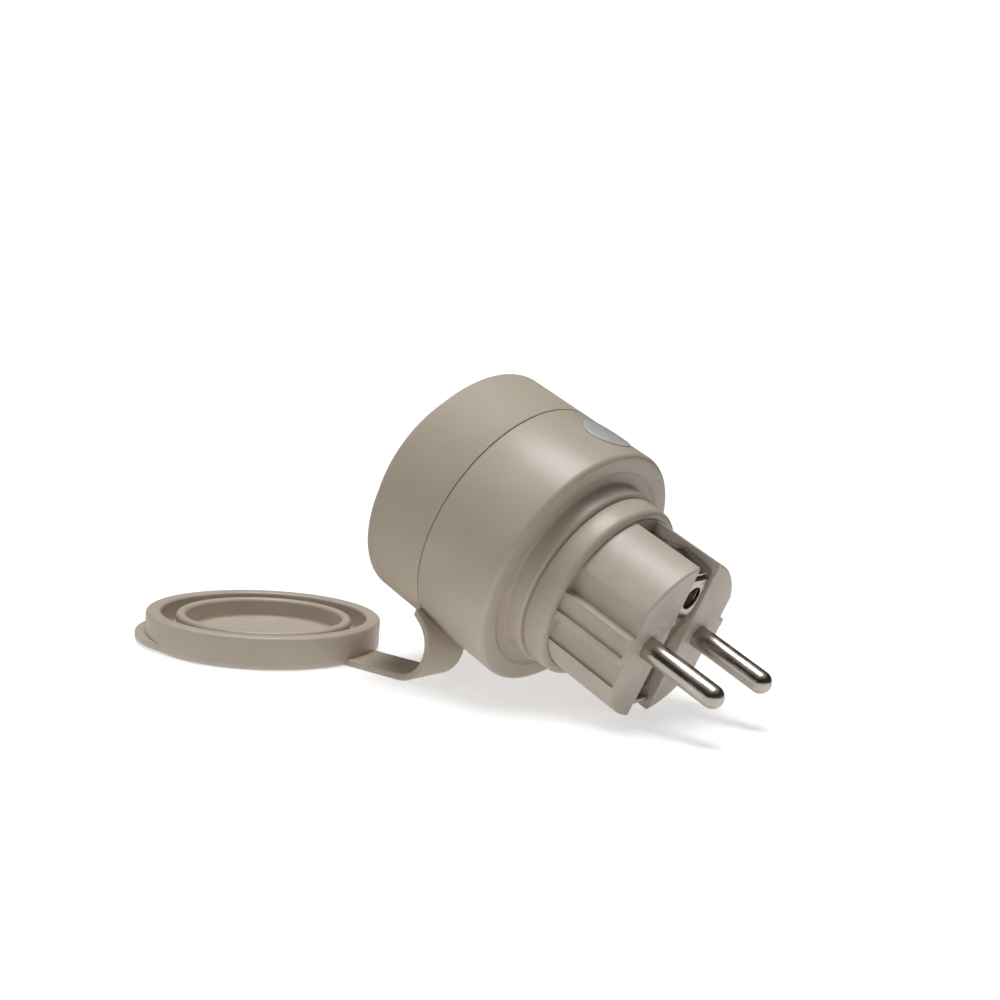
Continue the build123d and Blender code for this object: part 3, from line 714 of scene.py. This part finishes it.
def buildFloor(s):
    # white acrylic table, painted glow: it shines as if lit a little from below, in a painted pool of light
    # round its middle that only light bounces see and that lights the plug; further out it is painted dark
    # for them; the camera sees it go on evenly white
    bm = bmesh.new()
    bmesh.ops.create_grid(bm, x_segments=1, y_segments=1, size=s["floorHalf"])
    mesh = bpy.data.meshes.new("studioFloor")
    bm.to_mesh(mesh)
    bm.free()
    material, tree, shader, coords = startMaterial("litAcrylicFloor")
    reach = addNode(tree, "ShaderNodeVectorMath", {0: coords}, operation="LENGTH")
    # painted pool of light: the floor's glow falls off from brightR to dimR round the middle, for light
    # bounces only
    near = addNode(tree, "ShaderNodeMapRange", {
        "Value": reach.outputs["Value"], "From Min": s["brightR"], "From Max": s["dimR"],
        "To Min": 1.0, "To Max": 0.12,
    })
    path = tree.nodes.new("ShaderNodeLightPath")
    white = addNode(tree, "ShaderNodeMath", {
        0: near.outputs[0], 1: path.outputs["Is Camera Ray"],
    }, operation="MAXIMUM")
    glow = addNode(tree, "ShaderNodeMapRange", {
        "Value": path.outputs["Is Camera Ray"], "To Min": s["floorGlow"], "To Max": s["floorSeen"],
    })
    strength = addNode(tree, "ShaderNodeMath", {
        0: white.outputs[0], 1: glow.outputs[0],
    }, operation="MULTIPLY")
    tree.links.new(strength.outputs[0], shader.inputs["Emission Strength"])
    # painted shade: for light bounces the floor's colour goes from pale in the middle to dark further out
    mix = addNode(tree, "ShaderNodeMix", {0: white.outputs[0]}, data_type="RGBA")
    mix.inputs[6].default_value = hexToLinear("#262626")
    mix.inputs[7].default_value = hexToLinear("#cfcfce")
    tree.links.new(mix.outputs[2], shader.inputs["Base Color"])
    shader.inputs["Roughness"].default_value = 0.9
    shader.inputs["Emission Color"].default_value = (1, 1, 1, 1)
    mesh.materials.append(material)
    floor = bpy.data.objects.new("studioFloor", mesh)
    bpy.context.scene.collection.objects.link(floor)


def addLamp(name, power, size, place, aim):
    light = bpy.data.lights.new(name, "AREA")
    light.shape = "RECTANGLE"
    light.energy = power
    light.size = size[0]
    light.size_y = size[1]
    lamp = bpy.data.objects.new(name, light)
    lamp.location = place
    lamp.rotation_euler = (Vector(place) - Vector(aim)).to_track_quat("Z", "Y").to_euler()
    bpy.context.scene.collection.objects.link(lamp)


def buildSky(s):
    # dark walls round a lit ceiling; the camera alone sees plain white
    world = bpy.data.worlds.new("studioAir")
    world.use_nodes = True
    tree = world.node_tree
    tree.nodes.clear()
    coords = tree.nodes.new("ShaderNodeTexCoord")
    way = addNode(tree, "ShaderNodeSeparateXYZ", {"Vector": coords.outputs["Generated"]})
    ceiling = addNode(tree, "ShaderNodeMapRange", {
        "Value": way.outputs["Z"], "From Min": 0.6, "From Max": 0.95,
        "To Min": s["wallStrength"], "To Max": s["ceilingStrength"],
    })
    walls = addNode(tree, "ShaderNodeBackground", {"Strength": ceiling.outputs["Result"]})
    white = addNode(tree, "ShaderNodeBackground", {"Strength": 1.0})
    walls.inputs["Color"].default_value = (1, 0.99, 0.97, 1)
    white.inputs["Color"].default_value = (1, 1, 1, 1)
    path = tree.nodes.new("ShaderNodeLightPath")
    mix = addNode(tree, "ShaderNodeMixShader", {
        0: path.outputs["Is Camera Ray"], 1: walls.outputs[0], 2: white.outputs[0],
    })
    output = tree.nodes.new("ShaderNodeOutputWorld")
    tree.links.new(mix.outputs[0], output.inputs["Surface"])
    bpy.context.scene.world = world


def addOverhead(strength, angleDegrees, way):
    light = bpy.data.lights.new("overheadBank", "SUN")
    light.energy = strength
    light.angle = math.radians(angleDegrees)
    lamp = bpy.data.objects.new("overheadBank", light)
    lamp.rotation_euler = Vector(way).to_track_quat("Z", "Y").to_euler()
    bpy.context.scene.collection.objects.link(lamp)


buildFloor(studioSizes)
buildSky(studioSizes)
addOverhead(studioSizes["overhead"], studioSizes["overheadDeg"], (-0.02, -0.02, 1.0))
keyTurn = math.radians(studioSizes["keyTurnDeg"])
keyWay = Vector((math.cos(keyTurn) * 0.5, math.sin(keyTurn) * 0.5, 0.866))
keyPlace = keyWay * studioSizes["keyAway"]
keyAim = (0, 0, studioSizes["aimHigh"])
addLamp("keySoftbox", studioSizes["keyPower"], studioSizes["keySize"], keyPlace, keyAim)
bpy.context.scene.view_settings.view_transform = "Standard"

cameraSizes = {
    "lens": 53.23, "rollDeg": 4.22, "fromFace": (150.3, -253.6, 62.17),
    "lookBack": (0.60889, -0.78373, 0.12253),
}
eye = faceCentre + Vector(cameraSizes["fromFace"]) * mm
cameraData = bpy.data.cameras.new("studioCamera")
cameraData.lens = cameraSizes["lens"]
cameraData.sensor_width = 36
cameraData.clip_start = 0.01
camera = bpy.data.objects.new("studioCamera", cameraData)
turn = Vector(cameraSizes["lookBack"]).to_track_quat("Z", "Y").to_matrix().to_4x4()
roll = Matrix.Rotation(math.radians(cameraSizes["rollDeg"]), 4, "Z")
camera.matrix_world = Matrix.Translation(eye) @ turn @ roll
bpy.context.scene.collection.objects.link(camera)
bpy.context.scene.camera = camera
print("studio set")
